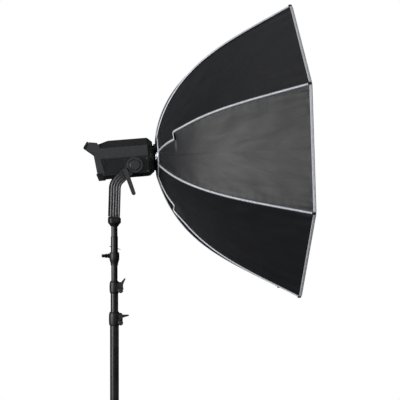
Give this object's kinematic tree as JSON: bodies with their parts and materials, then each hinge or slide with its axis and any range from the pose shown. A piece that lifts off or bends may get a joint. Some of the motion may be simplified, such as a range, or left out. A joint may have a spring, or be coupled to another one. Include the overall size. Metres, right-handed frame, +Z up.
{
  "type": "studio softbox",
  "caption": "Octagonal studio softbox with folding ribs, on a tilting lamp head, yoke and telescoping swing-leg stand.",
  "frame": {"origin": "on the stand column axis at floor level", "axes": "+X the way the softbox faces, +Y to the left of the lamp, +Z up"},
  "size_m": [0.958, 1.1178, 2.3587],
  "materials": {
    "stand_paint": "satin black powder coat on steel tube",
    "cast_black": "fine-textured black enamel on castings",
    "lever_plastic": "moulded black nylon with a soft sheen",
    "screw_metal": "blackened steel fasteners",
    "foot_rubber": "matt black rubber",
    "yoke_metal": "anodised dark grey extrusion with lengthwise ribs",
    "disc_plastic": "dark grey moulded covers with turned rings",
    "case_plastic": "black moulded casing with fine texture",
    "cover_plastic": "grey moulded side covers with fine texture",
    "grille_plastic": "black louvres",
    "grip_rubber": "black rubber over-moulding",
    "panel_gloss": "glossy black plastic",
    "bare_metal": "turned and cast aluminium",
    "ring_black": "black anodised aluminium",
    "lens_glass": "clear protective glass",
    "led_phosphor": "yellow phosphor on a white board",
    "fan_plastic": "black fan plastic",
    "rod_steel": "spring-steel rods",
    "canopy_cloth": "black woven nylon, satin, silver-backed",
    "piping_cloth": "silver-grey woven piping",
    "diffuser_cloth": "white translucent diffusion cloth"
  },
  "bodies": {
    "base": {"base_column": "stand_paint", "base_plug": "cast_black", "leg_retainer": "stand_paint", "leg_1": "stand_paint", "foot_1": "foot_rubber", "column_clamp": "cast_black", "column_tension_screw": "screw_metal"},
    "leg_2_body": {"leg_2": "stand_paint", "foot_2": "foot_rubber"},
    "leg_3_body": {"leg_3": "stand_paint", "foot_3": "foot_rubber"},
    "column_lever": {"column_handle": "lever_plastic"},
    "riser_1": {"riser_1_tube": "stand_paint", "riser_1_clamp": "cast_black", "riser_1_tension_screw": "screw_metal"},
    "riser_1_lever": {"riser_1_handle": "lever_plastic"},
    "riser_2": {"riser_2_tube": "stand_paint", "receiver": "cast_black"},
    "receiver_screw": {"receiver_handle": "lever_plastic"},
    "yoke": {"junior_pin": "stand_paint", "yoke_base": "cast_black", "yoke_arms": "yoke_metal", "tilt_discs": "disc_plastic"},
    "retaining_pin": {"safety_pin": "screw_metal"},
    "tilt_lock": {"tilt_lever": "lever_plastic"},
    "lamp": {"housing_near": "case_plastic", "housing_far": "case_plastic", "side_grilles": "grille_plastic", "side_covers": "cover_plastic", "handle_grip": "grip_rubber", "rear_panel": "case_plastic", "display_window": "panel_gloss", "cable_socket": "bare_metal", "rear_bumper": "grip_rubber", "front_hood": "case_plastic", "bayonet_ring": "bare_metal", "led_glass": "lens_glass", "cob_led": "led_phosphor", "heat_sink": "bare_metal", "fan_frame": "fan_plastic", "tilt_bolts": "screw_metal", "housing_screws": "screw_metal"},
    "fan": {"fan_rotor": "fan_plastic"},
    "dial": {"dimmer_dial": "panel_gloss"},
    "rocker": {"power_switch": "panel_gloss"},
    "softbox": {"speed_ring": "ring_black", "rib_pins": "screw_metal", "canopy": "canopy_cloth", "canopy_piping": "piping_cloth", "front_diffuser": "diffuser_cloth", "inner_baffle": "diffuser_cloth"},
    "latch": {"bayonet_latch": "bare_metal"},
    "rib_1_body": {"rib_1": "rod_steel"},
    "rib_2_body": {"rib_2": "rod_steel"},
    "rib_3_body": {"rib_3": "rod_steel"},
    "rib_4_body": {"rib_4": "rod_steel"},
    "rib_5_body": {"rib_5": "rod_steel"},
    "rib_6_body": {"rib_6": "rod_steel"},
    "rib_7_body": {"rib_7": "rod_steel"},
    "rib_8_body": {"rib_8": "rod_steel"}
  },
  "joints": [
    {"name": "leg_2_swing", "type": "hinge", "parent": "base", "child": "leg_2_body", "pos_m": [0, 0, 0], "axis": [0, 0, 1], "range_deg": [-105, 0]},
    {"name": "leg_3_swing", "type": "hinge", "parent": "base", "child": "leg_3_body", "pos_m": [0, 0, 0], "axis": [0, 0, 1], "range_deg": [0, 105]},
    {"name": "column_lock", "type": "hinge", "parent": "base", "child": "column_lever", "pos_m": [0.024, 0, 1.158], "axis": [0, -1, 0], "range_deg": [0, 150]},
    {"name": "riser_1_slide", "type": "slide", "parent": "base", "child": "riser_1", "axis": [0, 0, 1], "range_m": [-0.04, 0.75]},
    {"name": "riser_1_lock", "type": "hinge", "parent": "riser_1", "child": "riser_1_lever", "pos_m": [0.024, 0, 1.28], "axis": [0, -1, 0], "range_deg": [-60, 90]},
    {"name": "riser_2_slide", "type": "slide", "parent": "riser_1", "child": "riser_2", "axis": [0, 0, 1], "range_m": [-0.03, 0.75]},
    {"name": "receiver_lock", "type": "hinge", "parent": "riser_2", "child": "receiver_screw", "pos_m": [0, 0, 1.394], "axis": [-1, 0, 0], "continuous": true},
    {"name": "head_pan", "type": "hinge", "parent": "riser_2", "child": "yoke", "pos_m": [0, 0, 0], "axis": [0, 0, 1], "continuous": true},
    {"name": "safety_pin_pull", "type": "slide", "parent": "yoke", "child": "retaining_pin", "axis": [0.9563, 0, -0.2924], "range_m": [0, 0.045]},
    {"name": "tilt_lock_turn", "type": "hinge", "parent": "yoke", "child": "tilt_lock", "pos_m": [0.039, 0, 1.728], "axis": [0, -1, 0], "range_deg": [-60, 45]},
    {"name": "head_tilt", "type": "hinge", "parent": "yoke", "child": "lamp", "pos_m": [0.075, 0, 1.75], "axis": [0, 1, 0], "range_deg": [-75, 40]},
    {"name": "fan_spin", "type": "hinge", "parent": "lamp", "child": "fan", "pos_m": [0.07282, 0, 1.77591], "axis": [0.9965, 0, 0.0837], "continuous": true},
    {"name": "dial_turn", "type": "hinge", "parent": "lamp", "child": "dial", "pos_m": [-0.05838, -0.04, 1.78191], "axis": [-0.9869, 0, -0.1612], "continuous": true},
    {"name": "power_rock", "type": "hinge", "parent": "lamp", "child": "rocker", "pos_m": [-0.05225, -0.038, 1.74441], "axis": [0, -1, 0], "range_deg": [-14, 0]},
    {"name": "bayonet_turn", "type": "hinge", "parent": "lamp", "child": "softbox", "pos_m": [0.07401, 0, 1.77998], "axis": [0.9995, 0, 0.0332], "range_deg": [0, 20]},
    {"name": "latch_press", "type": "slide", "parent": "softbox", "child": "latch", "axis": [-0.9995, 0, -0.0332], "range_m": [0, 0.004], "stiffness_N_per_m": 600, "springref_m": -0.002},
    {"name": "rib_1_fold", "type": "hinge", "parent": "softbox", "child": "rib_1_body", "pos_m": [0.18103, 0.06652, 1.8111], "axis": [0.0306, 0.3827, -0.9234], "range_deg": [0, 44], "deforming": ["canopy", "canopy_piping", "front_diffuser", "inner_baffle"]},
    {"name": "rib_2_fold", "type": "hinge", "parent": "softbox", "child": "rib_2_body", "pos_m": [0.17974, 0.02755, 1.85005], "axis": [0.0127, 0.9239, -0.3825], "range_deg": [0, 44]},
    {"name": "rib_3_fold", "type": "hinge", "parent": "softbox", "child": "rib_3_body", "pos_m": [0.17974, -0.02755, 1.85005], "axis": [-0.0127, 0.9239, 0.3825], "range_deg": [0, 44]},
    {"name": "rib_4_fold", "type": "hinge", "parent": "softbox", "child": "rib_4_body", "pos_m": [0.18103, -0.06652, 1.8111], "axis": [-0.0306, 0.3827, 0.9234], "range_deg": [0, 44]},
    {"name": "rib_5_fold", "type": "hinge", "parent": "softbox", "child": "rib_5_body", "pos_m": [0.18286, -0.06652, 1.75603], "axis": [-0.0306, -0.3827, 0.9234], "range_deg": [0, 44]},
    {"name": "rib_6_fold", "type": "hinge", "parent": "softbox", "child": "rib_6_body", "pos_m": [0.18415, -0.02755, 1.71708], "axis": [-0.0127, -0.9239, 0.3825], "range_deg": [0, 44]},
    {"name": "rib_7_fold", "type": "hinge", "parent": "softbox", "child": "rib_7_body", "pos_m": [0.18415, 0.02755, 1.71708], "axis": [0.0127, -0.9239, -0.3825], "range_deg": [0, 44]},
    {"name": "rib_8_fold", "type": "hinge", "parent": "softbox", "child": "rib_8_body", "pos_m": [0.18286, 0.06652, 1.75603], "axis": [0.0306, -0.3827, -0.9234], "range_deg": [0, 44]}
  ],
  "couplings": [
    {"joint": "rib_2_fold", "follows": "rib_1_fold", "ratio": 1},
    {"joint": "rib_3_fold", "follows": "rib_1_fold", "ratio": 1},
    {"joint": "rib_4_fold", "follows": "rib_1_fold", "ratio": 1},
    {"joint": "rib_5_fold", "follows": "rib_1_fold", "ratio": 1},
    {"joint": "rib_6_fold", "follows": "rib_1_fold", "ratio": 1},
    {"joint": "rib_7_fold", "follows": "rib_1_fold", "ratio": 1},
    {"joint": "rib_8_fold", "follows": "rib_1_fold", "ratio": 1}
  ]
}
